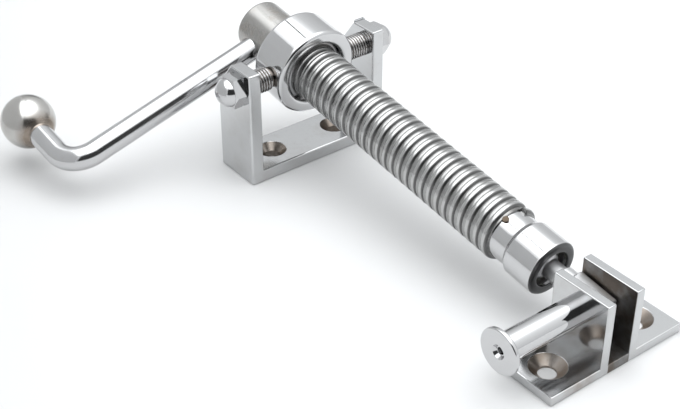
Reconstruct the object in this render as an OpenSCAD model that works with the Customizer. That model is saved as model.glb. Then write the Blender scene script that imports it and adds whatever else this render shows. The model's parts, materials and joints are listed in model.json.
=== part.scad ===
// Telescopic window opener. A wire-wound spindle with a crank screws through a collar
// that swings in a frame bracket. A ball joint at the front end of the spindle holds a
// stud, and a sprung pull pin fastens the stud to the window bracket.
// X runs from the frame to the window and Z is up. Both brackets stand on Z = 0, and the
// origin is the middle of the frame bracket's underside.

/* [Frame bracket] */
// Depth of the U bracket, along the opener
bracket_d = 18; // [16:0.5:22]
// Width over both uprights
bracket_w = 54; // [50:0.5:62]
// Thickness of the base and of each upright
bracket_t = 4.5; // [3.8:0.1:5]
// Height of the uprights
bracket_h = 40; // [39:0.5:44]
// Length of the slanted corner at the top back of each upright
corner_l = 7.5; // [5:0.5:8]
// Height of the slanted corner
corner_h = 10; // [6:0.5:11]
// Distance between the two screw holes in the base
base_hole_gap = 26; // [22:0.5:28]
// Diameter of the screw holes in the base
base_hole_d = 5.4; // [4.6:0.1:5.8]
// Diameter of their countersinks
base_sink_d = 9.8; // [9:0.1:10.6]

/* [Pivot] */
// Height of the pivot above the underside
pivot_z = 33.2; // [32:0.1:34.5]
// Distance of the pivot in front of the bracket's middle
pivot_x = 2.25; // [1:0.05:3.5]
// Diameter of the pivot screws' thread
pivot_d = 8; // [7:0.1:9]
// Diameter of the plain tip that turns in the collar
tip_d = 6; // [5:0.1:6.5]
// Length of the plain tip in the collar
tip_l = 3.2; // [2.6:0.1:3.4]
// Hexagon of the screw head, across flats
hex_af = 10; // [9.6:0.1:12]
// Length of the hexagon
hex_l = 3.9; // [3.2:0.1:5]
// Radius of the domed end
dome_r = 4.9; // [4.6:0.05:4.9]
// Depth of the dome's centre behind the end of the hexagon
dome_in = 1.2; // [0.8:0.1:2]

/* [Collar] */
// Diameter of the collar
collar_d = 30; // [29.5:0.5:33]
// Length of the collar in front of the pivot
collar_front = 6; // [5.8:0.1:6.6]
// Length of the collar behind the pivot
collar_back = 8.3; // [7.5:0.1:9]
// Rounding of the collar's edges
collar_round = 1.4; // [0.6:0.1:2]
// Length of the plain guide at the back of the bore
guide_l = 2.6; // [2:0.1:3]
// Wire diameter of the coil that serves as the nut
nut_wire_d = 1.8; // [1.6:0.05:1.9]
// Turns of the nut coil
nut_turns = 2.5; // [2:0.1:2.6]

/* [Spindle] */
// Outer diameter of the spindle tube
spindle_d = 12.3; // [11.5:0.1:12.6]
// Bore of the spindle tube
spindle_bore = 7; // [6:0.1:8]
// Wire diameter of the wound thread
wire_d = 2.8; // [2.5:0.05:2.9]
// Pitch of the wound thread
thread_pitch = 3.46; // [3.4:0.02:3.8]
// Turns of the wound thread
wire_turns = 30.94; // [24:0.01:34]
// Diameter of the pin that locks the socket's spigot
lock_pin_d = 1.9; // [1.5:0.1:2.2]
// Distance of the lock pin behind the end of the thread
lock_pin_back = 2.15; // [1.8:0.05:3]
// Length of the spigot inside the tube
spigot_l = 11; // [8:0.5:14]

/* [Hub and crank] */
// Diameter of the hub
hub_d = 17.8; // [17:0.1:18.6]
// Length of the hub
hub_l = 18.15; // [17:0.05:19]
// Rounding of the hub's back edge
hub_round = 1; // [0.5:0.1:2]
// Depth of the spindle's seat in the hub
hub_seat = 5.9; // [5:0.1:6.6]
// Diameter of the pin through the hub and the tube
hub_pin_d = 2.5; // [2:0.1:3]
// Distance from the hub's front face to the crank
rod_back = 10.55; // [10:0.05:12]
// Diameter of the crank rod
rod_d = 8; // [7:0.1:8.4]
// Length of the crank from the spindle's axis to the handle's axis
crank_arm = 80.3; // [60:0.1:95]
// Radius of the crank's bend
bend_r = 9; // [6:0.5:14]
// Distance of the knob's centre behind the crank arm
knob_back = 28.3; // [26:0.1:40]
// Diameter of the knob
knob_d = 18; // [15:0.5:22]
// Angle of the crank below the pivot's line
crank_angle = 17.6; // [0:0.1:25]

/* [Ball joint] */
// Diameter of the neck behind the socket
neck_d = 15.6; // [15.3:0.1:16.2]
// Length of the neck
neck_l = 1.4; // [1:0.1:2.5]
// Diameter of the socket
socket_d = 17.66; // [17:0.02:19]
// Length of the fillet between neck and socket
step_l = 1.3; // [1.1:0.1:2]
// Length of the socket
socket_l = 11; // [10.6:0.1:12]
// Rounding of the socket's front edge
lip_round = 1.2; // [0.6:0.1:1.5]
// Thickness of the rolled lip
lip_t = 1.5; // [1.2:0.1:2]
// Diameter of the socket's mouth
mouth_d = 11.8; // [11:0.1:12]
// Diameter of the ball
ball_d = 12; // [11.4:0.1:12.2]
// Depth of the ball's centre behind the mouth
ball_depth = 6.5; // [6.2:0.1:6.8]
// Thickness of the swivel liner round the ball
liner_t = 0.7; // [0.6:0.05:0.75]
// Length of the swivel liner
liner_l = 5; // [4.4:0.1:5.1]
// Thickness of the seat at its thinnest
seat_t = 0.6; // [0.5:0.05:0.7]

/* [Stud] */
// Distance from the ball's centre to the cross pin
stud_l = 21.4; // [21:0.1:24]
// Diameter of the stud's neck
stud_neck_d = 6; // [5:0.1:6.2]
// Diameter of the shoulder behind the tongue
shoulder_d = 7.8; // [7.2:0.1:7.9]
// Length of the shoulder
shoulder_l = 3; // [2:0.1:3.6]
// Height of the tongue
tongue_h = 7.2; // [6.8:0.1:8]
// Thickness of the tongue
tongue_t = 7; // [6:0.1:7.4]
// Length of the tongue behind the pin
tongue_back = 8; // [7:0.1:8.5]
// Length of the tongue in front of the pin
tongue_front = 5.7; // [4.5:0.1:7]

/* [Window bracket] */
// Length of the plate, along the opener
plate_l = 20; // [19:0.5:26]
// Width of the plate
plate_w = 51; // [47:0.5:60]
// Thickness of the plate
plate_t = 3; // [2.6:0.1:3.6]
// Thickness of each ear
ear_t = 3; // [2.5:0.1:4]
// Gap between the ears
ear_gap = 8.1; // [8:0.1:9]
// Height of the ears above the underside
ear_h = 24; // [22:0.5:27]
// Height of the cross pin above the underside
pin_z = 15.3; // [15:0.1:16.5]
// Distance of the cross pin behind the plate's middle
pin_back = 2.15; // [0:0.05:3]
// Distance between the two screw holes in the plate
sash_hole_gap = 34; // [33:0.5:37]
// Diameter of the screw holes in the plate
sash_hole_d = 5.4; // [4.6:0.1:5.8]
// Diameter of their countersinks
sash_sink_d = 11.2; // [10:0.1:11.6]
// Depth of the countersinks in both brackets
sink_l = 2.4; // [2:0.1:2.5]

/* [Pull pin] */
// Diameter of the cross pin
pin_d = 5; // [4.4:0.1:5.4]
// Length of the pin's end that stands out of the far ear
pin_out = 0.6; // [0.2:0.1:2]
// Outer diameter of the barrel
barrel_d = 8.6; // [8.2:0.1:10]
// Bore of the barrel
barrel_bore = 6.8; // [6.6:0.1:7.2]
// Length of the barrel
barrel_l = 25.65; // [25:0.05:30]
// Length of the bush that closes the barrel
bush_l = 2; // [1.5:0.1:2.5]
// Length of the pin's shoulder in the barrel
pin_head_l = 2; // [1.5:0.1:2.2]
// Diameter of the pin's stem
stem_d = 3; // [2.6:0.1:3.2]
// Diameter of the pull disc
disc_d = 13.8; // [13:0.1:18]
// Thickness of the pull disc
disc_t = 1.4; // [1.3:0.1:3]
// Diameter of the recess in the disc
recess_d = 4.4; // [3.6:0.1:5]
// Depth of the stem's end below the disc's face
stem_in = 0.5; // [0.3:0.1:0.8]
// Wire diameter of the pin's spring
spring_wire_d = 0.8; // [0.6:0.05:0.8]
// Mean diameter of the pin's spring
spring_d = 4.9; // [4.7:0.05:5]
// Turns of the pin's spring
spring_turns = 9; // [7:1:9]

/* [Fits] */
// Radial clearance of running fits
run_fit = 0.05; // [0.02:0.01:0.08]
// Gap between faces that move past each other
free_gap = 0.3; // [0.3:0.05:0.5]
// Clearance of the wound thread above the tube
wire_seat = 0.25; // [0.2:0.01:0.4]
// Clearance between the wound thread and the nut coil
thread_gap = 0.28; // [0.25:0.01:0.35]
// Clearance of the thread's crests in the collar's guide
guide_gap = 0.4; // [0.3:0.05:0.6]

/* [Hidden] */
$fn = 96;
eps = 0.01;
past = 1;

// Rings to a turn and sides of the wound wires
thread_rings = 16;
spring_rings = 8;
wire_sides = 6;
// Gap between the end of a coil and the face that it meets
coil_rest = 0.35;
// Length of the sleeve behind the end of the wire's middle, and in front of it
stop_back = 1.9;
stop_ahead = 1.6;
// Depth of the lock pin's end below the thread's crest, and of the hub pin's in the hub
lock_pin_sink = 0.85;
hub_pin_sink = 0.4;
// Angles of the two pins round the spindle
lock_pin_angle = 114.6;
hub_pin_angle = 300;
// Length of the seat behind the ball's middle, and half the gap to the ring before it
seat_back = 3.8;
half_gap = 0.1;
// Bevels of the pull disc's edges
disc_bevel = 0.35;
// Rings of the wire's last turn that the sleeve is cut for, and the angle past its end
tail_rings = 20;
tail_past = 1;
// Distance of the spring wire's middle from the faces at both ends of the spring
spring_rest = 0.45;

// Radii of the spindle, its thread and its nut
spindle_r = spindle_d / 2;
wire_r = wire_d / 2;
coil_r = spindle_r + wire_seat + wire_r;
crest_r = coil_r + wire_r;
nut_wire_r = nut_wire_d / 2;
groove_reach = wire_r + nut_wire_r + thread_gap;
nut_coil_r = coil_r + sqrt(groove_reach * groove_reach - thread_pitch * thread_pitch / 4);
nut_bore_r = nut_coil_r + nut_wire_r;

// Places along the spindle's axis, measured from the pivot towards the window
hub_front = -collar_back - free_gap;
rod_s = hub_front - rod_back;
wire_start = hub_front + coil_rest + wire_r;
wire_start_angle = 90;
wire_end = wire_start + thread_pitch * wire_turns;
lock_pin_s = wire_end - lock_pin_back;
stop_start = wire_end - stop_back;
neck_start = wire_end + stop_ahead;
step_start = neck_start + neck_l;
socket_start = step_start + step_l;
socket_end = socket_start + socket_l;
ball_s = socket_end - ball_depth;
pin_s = ball_s + stud_l;

// The axis falls from the pivot to the cross pin
fall = asin((pivot_z - pin_z) / pin_s);
pin_x = pivot_x + pin_s * cos(fall);
plate_x = pin_x + pin_back;

// Radii of the ball joint, from the ball outwards
ball_r = ball_d / 2;
liner_in = ball_r + run_fit;
liner_out = liner_in + liner_t;
seat_in = liner_out + run_fit;
seat_out = seat_in + seat_t;
socket_bore_r = seat_out + run_fit;
mouth_r = mouth_d / 2;
seat_start = ball_s - seat_back;
bore_start = seat_start - free_gap;
ring_start = ball_s + half_gap;
seat_end = ball_s - half_gap;
lip_start = socket_end - lip_t;

// Places across the window bracket
ear_in = ear_gap / 2;
ear_out = ear_in + ear_t;
pin_end = ear_out + pin_out;
barrel_end = -ear_out - barrel_l;
pin_head = -ear_out - free_gap;
disc_in = barrel_end - free_gap;
disc_out = disc_in - disc_t;
stem_end = disc_out + stem_in;

// The nut coil's first station, half a pitch from the thread's
nut_start = collar_front - nut_wire_r - coil_rest - nut_turns * thread_pitch;
nut_start_angle = wire_start_angle + 360 * (nut_start - thread_pitch / 2 - wire_start) / thread_pitch;

spring_l = barrel_l - free_gap - pin_head_l - bush_l;
spring_pitch = (spring_l - 2 * spring_rest) / spring_turns;

// Places the children on the spindle's axis: their Z runs towards the window and their Y
// stays level.
module on_axis(s = 0) {
    translate([pivot_x, 0, pivot_z])
        rotate([0, 90 + fall, 0])
            translate([0, 0, s])
                children();
}

// Turns the children's Z outwards from the axis, at an angle measured from level Y.
module radially(angle) {
    rotate([0, 0, angle])
        rotate([-90, 0, 0])
            children();
}

module at_pin(y = 0) {
    translate([pin_x, y, pin_z])
        rotate([-90, 0, 0])
            children();
}

// Centre of a coil's wire after a given angle.
function coil_point(radius, pitch, start, angle0, angle) =
    [-radius * sin(angle), radius * cos(angle), start + pitch * (angle - angle0) / 360];

// Points of one ring round a coil's wire.
function coil_ring(radius, wire, pitch, start, angle0, angle) =
    let (
        out = [-sin(angle), cos(angle), 0],
        rise = pitch / (2 * PI),
        along = [-radius * cos(angle), -radius * sin(angle), rise] / norm([radius, rise]),
        side = cross(along, out),
        centre = coil_point(radius, pitch, start, angle0, angle)
    )
    [for (k = [0:wire_sides - 1])
        centre + wire * (cos(360 * k / wire_sides) * out + sin(360 * k / wire_sides) * side)];

// One unbroken wire wound as a helix, with a ring at each of the given angles.
module coil(radius, wire, pitch, start, angle0, angles) {
    count = len(angles);
    points = [for (angle = angles) each coil_ring(radius, wire, pitch, start, angle0, angle)];
    sides = [for (i = [0:count - 2]) for (k = [0:wire_sides - 1])
        let (
            a = i * wire_sides + k,
            b = i * wire_sides + (k + 1) % wire_sides,
            c = a + wire_sides,
            d = b + wire_sides
        )
        each [[a, c, b], [b, c, d]]];
    last = (count - 1) * wire_sides;
    first_cap = [for (k = [1:wire_sides - 2]) [0, k, k + 1]];
    last_cap = [for (k = [1:wire_sides - 2]) [last, last + k + 1, last + k]];
    polyhedron(points, concat(sides, first_cap, last_cap));
}

// Angles of a coil's rings, from its first turn to its last.
function coil_angles(angle0, turns, rings) =
    let (steps = ceil(turns * rings))
    [for (i = [0:steps]) angle0 + 360 * turns * i / steps];

// Least gap between a wire's turns, measured between the rings' centres.
function coil_gap(radius, wire, pitch, angles) =
    let (points = [for (angle = angles) coil_point(radius, pitch, 0, angles[0], angle)])
    min([for (i = [0:len(points) - 1]) for (j = [i + 1:1:len(points) - 1])
        if (angles[j] - angles[i] > 180 && angles[j] - angles[i] < 540)
            norm(points[j] - points[i])]) - 2 * wire;

thread_angles = coil_angles(wire_start_angle, wire_turns, thread_rings);
nut_angles = coil_angles(nut_start_angle, nut_turns, thread_rings);
spring_angles = coil_angles(0, spring_turns, spring_rings);
echo(thread_self_gap = coil_gap(coil_r, wire_r, thread_pitch, thread_angles));
echo(nut_self_gap = coil_gap(nut_coil_r, nut_wire_r, thread_pitch, nut_angles));
echo(spring_self_gap = coil_gap(spring_d / 2, spring_wire_d / 2, spring_pitch, spring_angles));

// Outline of a ring whose outer corners are rounded, for turning round Z.
module rounded_ring(inner, outer, z0, z1, round0, round1) {
    translate([inner, z0 + round0])
        square([outer - inner, z1 - z0 - round0 - round1]);
    translate([inner, z0])
        square([outer - inner - round0, z1 - z0]);
    translate([inner, z0 + round0])
        square([outer - inner - round1, z1 - z0 - round0]);
    translate([outer - round0, z0 + round0])
        circle(round0);
    translate([outer - round1, z1 - round1])
        circle(round1);
}

// A countersunk screw hole through a plate of thickness t.
module sunk_hole(hole_d, sink_d, t) {
    translate([0, 0, -past])
        cylinder(d = hole_d, h = t + 2 * past);
    translate([0, 0, t - sink_l])
        cylinder(d1 = hole_d, d2 = sink_d, h = sink_l);
    translate([0, 0, t - eps])
        cylinder(d = sink_d, h = past);
}

module frame_bracket() {
    span = bracket_w - 2 * bracket_t;
    color("silver")
        difference() {
            translate([-bracket_d / 2, -bracket_w / 2, 0])
                cube([bracket_d, bracket_w, bracket_h]);
            translate([-bracket_d / 2 - past, -span / 2, bracket_t])
                cube([bracket_d + 2 * past, span, bracket_h]);
            rotate([90, 0, 0])
                linear_extrude(bracket_w + 2 * past, center = true)
                    polygon([
                        [-bracket_d / 2 - past, bracket_h - corner_h - past * corner_h / corner_l],
                        [-bracket_d / 2 + corner_l, bracket_h],
                        [-bracket_d / 2 + corner_l, bracket_h + past],
                        [-bracket_d / 2 - past, bracket_h + past]
                    ]);
            translate([pivot_x, 0, pivot_z])
                rotate([90, 0, 0])
                    cylinder(d = pivot_d, h = bracket_w + 2 * past, center = true);
            for (side = [-1, 1])
                translate([0, side * base_hole_gap / 2, 0])
                    sunk_hole(base_hole_d, base_sink_d, bracket_t);
        }
}

// A pivot screw: side 1 lies on the left of someone at the crank, side -1 on the right.
module pivot_screw(side) {
    shank_in = collar_d / 2 + free_gap;
    hex_in = bracket_w / 2;
    hex_out = hex_in + hex_l;
    color("gainsboro")
        translate([pivot_x, 0, pivot_z])
            rotate([-90 * side, 0, 0]) {
                translate([0, 0, collar_d / 2 - tip_l])
                    cylinder(d = tip_d, h = tip_l + free_gap + past);
                translate([0, 0, shank_in])
                    cylinder(d = pivot_d, h = hex_in - shank_in + past);
                translate([0, 0, hex_in])
                    cylinder(r = hex_af / sqrt(3), h = hex_l, $fn = 6);
                translate([0, 0, hex_out - dome_in])
                    sphere(dome_r);
            }
}

module pivot_screw_left() {
    pivot_screw(1);
}

module pivot_screw_right() {
    pivot_screw(-1);
}

module collar() {
    color("silver")
        on_axis()
            difference() {
                rotate_extrude()
                    rounded_ring(crest_r + guide_gap, collar_d / 2, -collar_back, collar_front,
                        collar_round, collar_round);
                translate([0, 0, guide_l - collar_back])
                    cylinder(r = nut_bore_r, h = collar_back + collar_front);
                for (angle = [0, 180])
                    radially(angle)
                        translate([0, 0, collar_d / 2 - tip_l - free_gap])
                            cylinder(r = tip_d / 2 + run_fit, h = tip_l + free_gap + past);
            }
}

module nut_coil() {
    color("dimgray")
        on_axis()
            coil(nut_coil_r, nut_wire_r, thread_pitch, nut_start, nut_start_angle, nut_angles);
}

module lock_pin_hole(d) {
    translate([0, 0, lock_pin_s])
        radially(lock_pin_angle)
            cylinder(d = d, h = crest_r + past);
}

module hub_pin_hole(r0, r1) {
    translate([0, 0, hub_front - hub_seat / 2])
        radially(hub_pin_angle)
            translate([0, 0, r0])
                cylinder(d = hub_pin_d, h = r1 - r0);
}

module spindle_tube() {
    color("darkgray")
        on_axis()
            difference() {
                translate([0, 0, hub_front - hub_seat])
                    cylinder(r = spindle_r, h = neck_start - hub_front + hub_seat);
                translate([0, 0, hub_front - hub_seat - past])
                    cylinder(d = spindle_bore, h = neck_start - hub_front + hub_seat + 2 * past);
                lock_pin_hole(lock_pin_d);
                hub_pin_hole(0, hub_d);
            }
}

module thread_wire() {
    color("gainsboro")
        on_axis()
            difference() {
                coil(coil_r, wire_r, thread_pitch, wire_start, wire_start_angle, thread_angles);
                lock_pin_hole(lock_pin_d + 2 * run_fit);
            }
}

// The sleeve that the end of the wire runs out against.
module thread_stop() {
    rings = len(thread_angles);
    tail = [for (i = [rings - tail_rings:rings - 1]) thread_angles[i]];
    color("silver")
        on_axis()
            difference() {
                translate([0, 0, stop_start])
                    cylinder(d = neck_d, h = neck_start - stop_start);
                translate([0, 0, stop_start - past])
                    cylinder(r = spindle_r, h = neck_start - stop_start + 2 * past);
                coil(coil_r, wire_r + run_fit, thread_pitch, wire_start, wire_start_angle,
                    concat(tail, [thread_angles[rings - 1] + tail_past]));
                lock_pin_hole(lock_pin_d);
            }
}

module lock_pin() {
    color("dimgray")
        on_axis()
            intersection() {
                lock_pin_hole(lock_pin_d);
                cylinder(r = crest_r - lock_pin_sink, h = socket_start);
            }
}

module hub() {
    color("silver")
        on_axis()
            difference() {
                rotate_extrude()
                    rounded_ring(0, hub_d / 2, hub_front - hub_l, hub_front, hub_round, hub_round / 2);
                translate([0, 0, hub_front - hub_seat])
                    cylinder(r = spindle_r, h = hub_seat + past);
                translate([0, 0, rod_s])
                    radially(180 + crank_angle)
                        translate([0, 0, -rod_d / 2])
                            cylinder(d = rod_d, h = rod_d / 2 + hub_d);
                hub_pin_hole(spindle_r, hub_d);
            }
}

module hub_pin() {
    color("dimgray")
        on_axis()
            hub_pin_hole(spindle_bore / 2, hub_d / 2 - hub_pin_sink);
}

// The rod leaves the hub, bends back through a right angle and ends inside the knob.
module crank_rod() {
    color("silver")
        on_axis(rod_s)
            rotate([0, 0, 180 + crank_angle]) {
                translate([0, -rod_d / 2, 0])
                    rotate([-90, 0, 0])
                        cylinder(d = rod_d, h = rod_d / 2 + crank_arm - bend_r);
                translate([0, crank_arm - bend_r, -bend_r])
                    rotate([90, 0, 90])
                        rotate_extrude(angle = 90)
                            translate([bend_r, 0])
                                circle(d = rod_d);
                translate([0, crank_arm, -knob_back])
                    cylinder(d = rod_d, h = knob_back - bend_r);
            }
}

module crank_knob() {
    color("silver")
        on_axis(rod_s)
            rotate([0, 0, 180 + crank_angle])
                translate([0, crank_arm, -knob_back])
                    difference() {
                        sphere(d = knob_d);
                        cylinder(d = rod_d, h = knob_d);
                    }
}

module socket_head() {
    step_r = (socket_d - neck_d) / 2;
    color("silver")
        on_axis()
            difference() {
                rotate_extrude()
                    difference() {
                        union() {
                            translate([0, neck_start])
                                square([neck_d / 2, neck_l + step_l]);
                            translate([0, socket_start - step_r])
                                square([socket_d / 2, step_r + past]);
                            rounded_ring(0, socket_d / 2, socket_start, socket_end, eps, lip_round);
                        }
                        translate([socket_d / 2, socket_start - step_r])
                            circle(step_r);
                    }
                translate([0, 0, bore_start])
                    cylinder(r = socket_bore_r, h = lip_start - bore_start);
                translate([0, 0, ball_s])
                    cylinder(r = mouth_r, h = ball_depth + past);
                translate([0, 0, ball_s])
                    sphere(ball_r + free_gap);
            }
    color("silver")
        on_axis()
            difference() {
                translate([0, 0, neck_start - spigot_l])
                    cylinder(d = spindle_bore, h = spigot_l);
                lock_pin_hole(lock_pin_d);
            }
}

// The ring in front of the ball keeps it in the socket.
module socket_ring() {
    color("dimgray")
        on_axis()
            difference() {
                translate([0, 0, ring_start])
                    cylinder(r = socket_bore_r, h = lip_start - ring_start);
                translate([0, 0, ball_s])
                    sphere(seat_in);
                translate([0, 0, ball_s])
                    cylinder(r = mouth_r, h = ball_depth);
            }
}

// The seat stays still round the ball while the socket turns about it.
module ball_seat() {
    color("ivory")
        on_axis()
            difference() {
                translate([0, 0, seat_start])
                    cylinder(r = seat_out, h = seat_end - seat_start);
                translate([0, 0, ball_s])
                    sphere(seat_in);
            }
}

module ball_liner() {
    color("ivory")
        on_axis(ball_s)
            difference() {
                intersection() {
                    sphere(liner_out);
                    cylinder(r = 2 * liner_out, h = liner_l, center = true);
                }
                sphere(liner_in);
            }
}

module ball_stud() {
    color("silver")
        on_axis()
            difference() {
                union() {
                    translate([0, 0, ball_s])
                        sphere(ball_r);
                    translate([0, 0, ball_s])
                        cylinder(d = stud_neck_d, h = stud_l - tongue_back);
                    translate([0, 0, pin_s - tongue_back - shoulder_l])
                        cylinder(d = shoulder_d, h = shoulder_l);
                    translate([-tongue_h / 2, -tongue_t / 2, pin_s - tongue_back])
                        cube([tongue_h, tongue_t, tongue_back + tongue_front]);
                }
                translate([0, 0, pin_s])
                    rotate([90, 0, 0])
                        cylinder(r = pin_d / 2 + run_fit, h = tongue_t + 2 * past, center = true);
            }
}

module window_plate() {
    color("silver")
        translate([plate_x, 0, 0])
            difference() {
                translate([-plate_l / 2, -plate_w / 2, 0])
                    cube([plate_l, plate_w, plate_t]);
                for (side = [-1, 1])
                    translate([0, side * sash_hole_gap / 2, 0])
                        sunk_hole(sash_hole_d, sash_sink_d, plate_t);
            }
}

module ear(side) {
    middle = side * (ear_in + ear_out) / 2;
    color("silver")
        difference() {
            translate([plate_x - plate_l / 2, middle - ear_t / 2, plate_t])
                cube([plate_l, ear_t, ear_h - plate_t]);
            at_pin(middle)
                cylinder(r = pin_d / 2 + run_fit, h = ear_t + 2 * past, center = true);
        }
}

module ear_left() {
    ear(1);
}

module ear_right() {
    ear(-1);
}

module plunger_barrel() {
    color("silver")
        at_pin(barrel_end)
            difference() {
                cylinder(d = barrel_d, h = barrel_l);
                translate([0, 0, -past])
                    cylinder(d = barrel_bore, h = barrel_l + 2 * past);
            }
}

module barrel_bush() {
    color("dimgray")
        at_pin(barrel_end)
            difference() {
                cylinder(d = barrel_bore, h = bush_l);
                translate([0, 0, -past])
                    cylinder(r = stem_d / 2 + run_fit, h = bush_l + 2 * past);
            }
}

module cross_pin() {
    color("gainsboro") {
        at_pin(stem_end)
            cylinder(d = stem_d, h = pin_head - stem_end);
        at_pin(pin_head - pin_head_l)
            cylinder(r = barrel_bore / 2 - run_fit, h = pin_head_l);
        at_pin(pin_head - pin_head_l)
            cylinder(d = pin_d, h = pin_end - pin_head + pin_head_l);
    }
}

module pin_spring() {
    color("dimgray")
        at_pin(barrel_end + bush_l)
            coil(spring_d / 2, spring_wire_d / 2, spring_pitch, spring_rest, 0, spring_angles);
}

module pull_disc() {
    recess_l = (recess_d - stem_d) / 2;
    color("silver")
        at_pin(disc_out)
            difference() {
                rotate_extrude()
                    rounded_ring(0, disc_d / 2, 0, disc_t, disc_bevel, disc_bevel);
                cylinder(d = stem_d, h = disc_t + past);
                translate([0, 0, -eps])
                    cylinder(d1 = recess_d, d2 = stem_d, h = recess_l);
            }
}

frame_bracket();
pivot_screw_left();
pivot_screw_right();
collar();
nut_coil();
spindle_tube();
thread_wire();
thread_stop();
lock_pin();
hub();
hub_pin();
crank_rod();
crank_knob();
socket_head();
socket_ring();
ball_seat();
ball_liner();
ball_stud();
window_plate();
ear_left();
ear_right();
plunger_barrel();
barrel_bush();
cross_pin();
pin_spring();
pull_disc();
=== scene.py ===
"""Dresses the window opener: turned, bent, wound and plated metal over its solids, and a studio round it."""

import json
import math

import bmesh
import bpy
from bpy.props import FloatProperty, FloatVectorProperty, IntProperty, PointerProperty
from mathutils import Matrix, Vector

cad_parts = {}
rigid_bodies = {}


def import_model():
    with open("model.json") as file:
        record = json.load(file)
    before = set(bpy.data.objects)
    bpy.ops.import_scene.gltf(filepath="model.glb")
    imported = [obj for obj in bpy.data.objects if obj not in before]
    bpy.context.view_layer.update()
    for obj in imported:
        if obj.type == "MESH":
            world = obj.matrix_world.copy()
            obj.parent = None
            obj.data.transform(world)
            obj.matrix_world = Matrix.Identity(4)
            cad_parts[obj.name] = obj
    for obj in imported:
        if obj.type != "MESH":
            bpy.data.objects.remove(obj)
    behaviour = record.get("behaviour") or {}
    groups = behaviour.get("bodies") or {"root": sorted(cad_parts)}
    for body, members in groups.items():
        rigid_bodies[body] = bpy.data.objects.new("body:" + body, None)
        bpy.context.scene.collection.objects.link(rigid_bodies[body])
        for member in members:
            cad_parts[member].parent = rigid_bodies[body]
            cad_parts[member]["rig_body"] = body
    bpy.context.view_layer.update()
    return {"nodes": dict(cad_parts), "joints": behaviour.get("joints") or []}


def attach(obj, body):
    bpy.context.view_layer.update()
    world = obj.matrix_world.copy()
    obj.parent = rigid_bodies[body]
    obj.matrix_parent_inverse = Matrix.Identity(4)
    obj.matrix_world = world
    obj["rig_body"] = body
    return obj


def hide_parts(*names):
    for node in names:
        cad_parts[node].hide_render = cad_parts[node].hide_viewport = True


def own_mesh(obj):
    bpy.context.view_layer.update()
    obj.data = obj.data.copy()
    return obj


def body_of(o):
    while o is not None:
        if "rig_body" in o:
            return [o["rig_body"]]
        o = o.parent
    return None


bl_info = {
    "name": "Window Opener",
    "version": (1, 0, 0),
    "blender": (4, 5, 0),
    "location": "View3D > Sidebar > Window Opener",
    "description": "Builds a screw-type window opener with its metals and a small studio",
    "category": "Add Mesh",
}

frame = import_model()

MM = 0.001
FIT = 0.05 * MM  # Distance between pieces that fit closely.
GAP = 0.3 * MM  # Distance between pieces that move past each other.
LAP = 0.5 * MM  # How far one mesh of a piece runs into the next.
OVER = 1 * MM  # How far a cutting tool stands out of what it cuts.
ON_AXIS = 1e-7  # A turned outline's point with a smaller radius lies on the axis.
SIDES = (-1, 1)

JOINTS = {joint["name"]: joint for joint in frame["joints"]}
PIVOT = Vector(JOINTS["collar_tilt"]["pos_m"])
ALONG = Vector(JOINTS["crank_turn"]["axis"]).normalized()
BALL = Vector(JOINTS["ball_yaw"]["pos_m"])
PIN = Vector(JOINTS["window_pivot"]["pos_m"])
LEVEL = Vector((0, 1, 0))
BALL_AT = (BALL - PIVOT).dot(ALONG)
PIN_AT = (PIN - PIVOT).dot(ALONG)


def shift(x=0.0, y=0.0, z=0.0):
    """A move."""
    return Matrix.Translation((x, y, z))


def spin(degrees, axis):
    """A turn round one axis."""
    return Matrix.Rotation(math.radians(degrees), 4, axis)


def screw_place(side):
    """A pivot screw's own frame: Z runs out from the pivot to one side."""
    return shift(*PIVOT) @ spin(-90 * side, "X")


# The spindle's own frame: X is level, Y stands across the axis and Z runs towards the window.
SPINDLE = shift(*PIVOT) @ Matrix((LEVEL, ALONG.cross(LEVEL), ALONG)).transposed().to_4x4()
# The cross pin's own frame: Z runs away from the pull disc.
PIN_AXIS = shift(*PIN) @ spin(-90, "X")

CAMERA_AT = (0.32334, -0.23479, 0.24827)
CAMERA_WAY = math.radians(142.24)
CAMERA_DOWN = math.radians(34.22)

# Each card's place, its turn in degrees, its size and its tone.
CARDS = {
    "camera_opening": ((0.475, -0.20, 0.275), -26.4, (0.001, 0.65, 0.45), 0.03),
    "left_reflector": ((-0.114, -0.141, 0.119), 57, (0.001, 0.60, 0.238), 0.62),
    "ceiling_seam": ((-0.058, -0.153, 0.65), -34, (1.3, 0.026, 0.001), 0.03),
}
# The room's brightness from its horizon (0) to straight above (1).
ROOM_LEVELS = (
    (0.0, 0.80), (0.34, 0.86), (0.50, 0.94), (0.64, 1.08),
    (0.72, 1.40), (0.79, 2.2), (0.86, 3.3), (1.0, 3.4),
)
# The window, the dark corner and the doorway: direction, how sharply each ends, and the light that it adds.
ROOM_SPOTS = (
    ((0.58, 0.64, 0.50), 6.0, 0.22),
    ((-0.89, 0.16, 0.42), 22.0, -0.35),
    ((-0.825, 0.556, 0.105), 45.0, -0.6),
)
ROOM_TINT = (0.965, 0.985, 1.0)


def length(name, description, millimetres):
    """A length that a user can change, given in millimetres."""
    return FloatProperty(
        name=name,
        description=description,
        default=millimetres * MM,
        min=0.0,
        unit="LENGTH",
        subtype="DISTANCE",
        precision=5,
    )


def bearing(name, description, degrees):
    """An angle that a user can change, given in degrees."""
    return FloatProperty(name=name, description=description, default=math.radians(degrees), subtype="ANGLE")


def number(name, description, default):
    """A plain number that a user can change."""
    return FloatProperty(name=name, description=description, default=default, min=0.0)


def colour(name, description, default):
    """A colour that a user can change."""
    return FloatVectorProperty(
        name=name, description=description, default=default, min=0.0, max=1.0, size=3, subtype="COLOR"
    )


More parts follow.
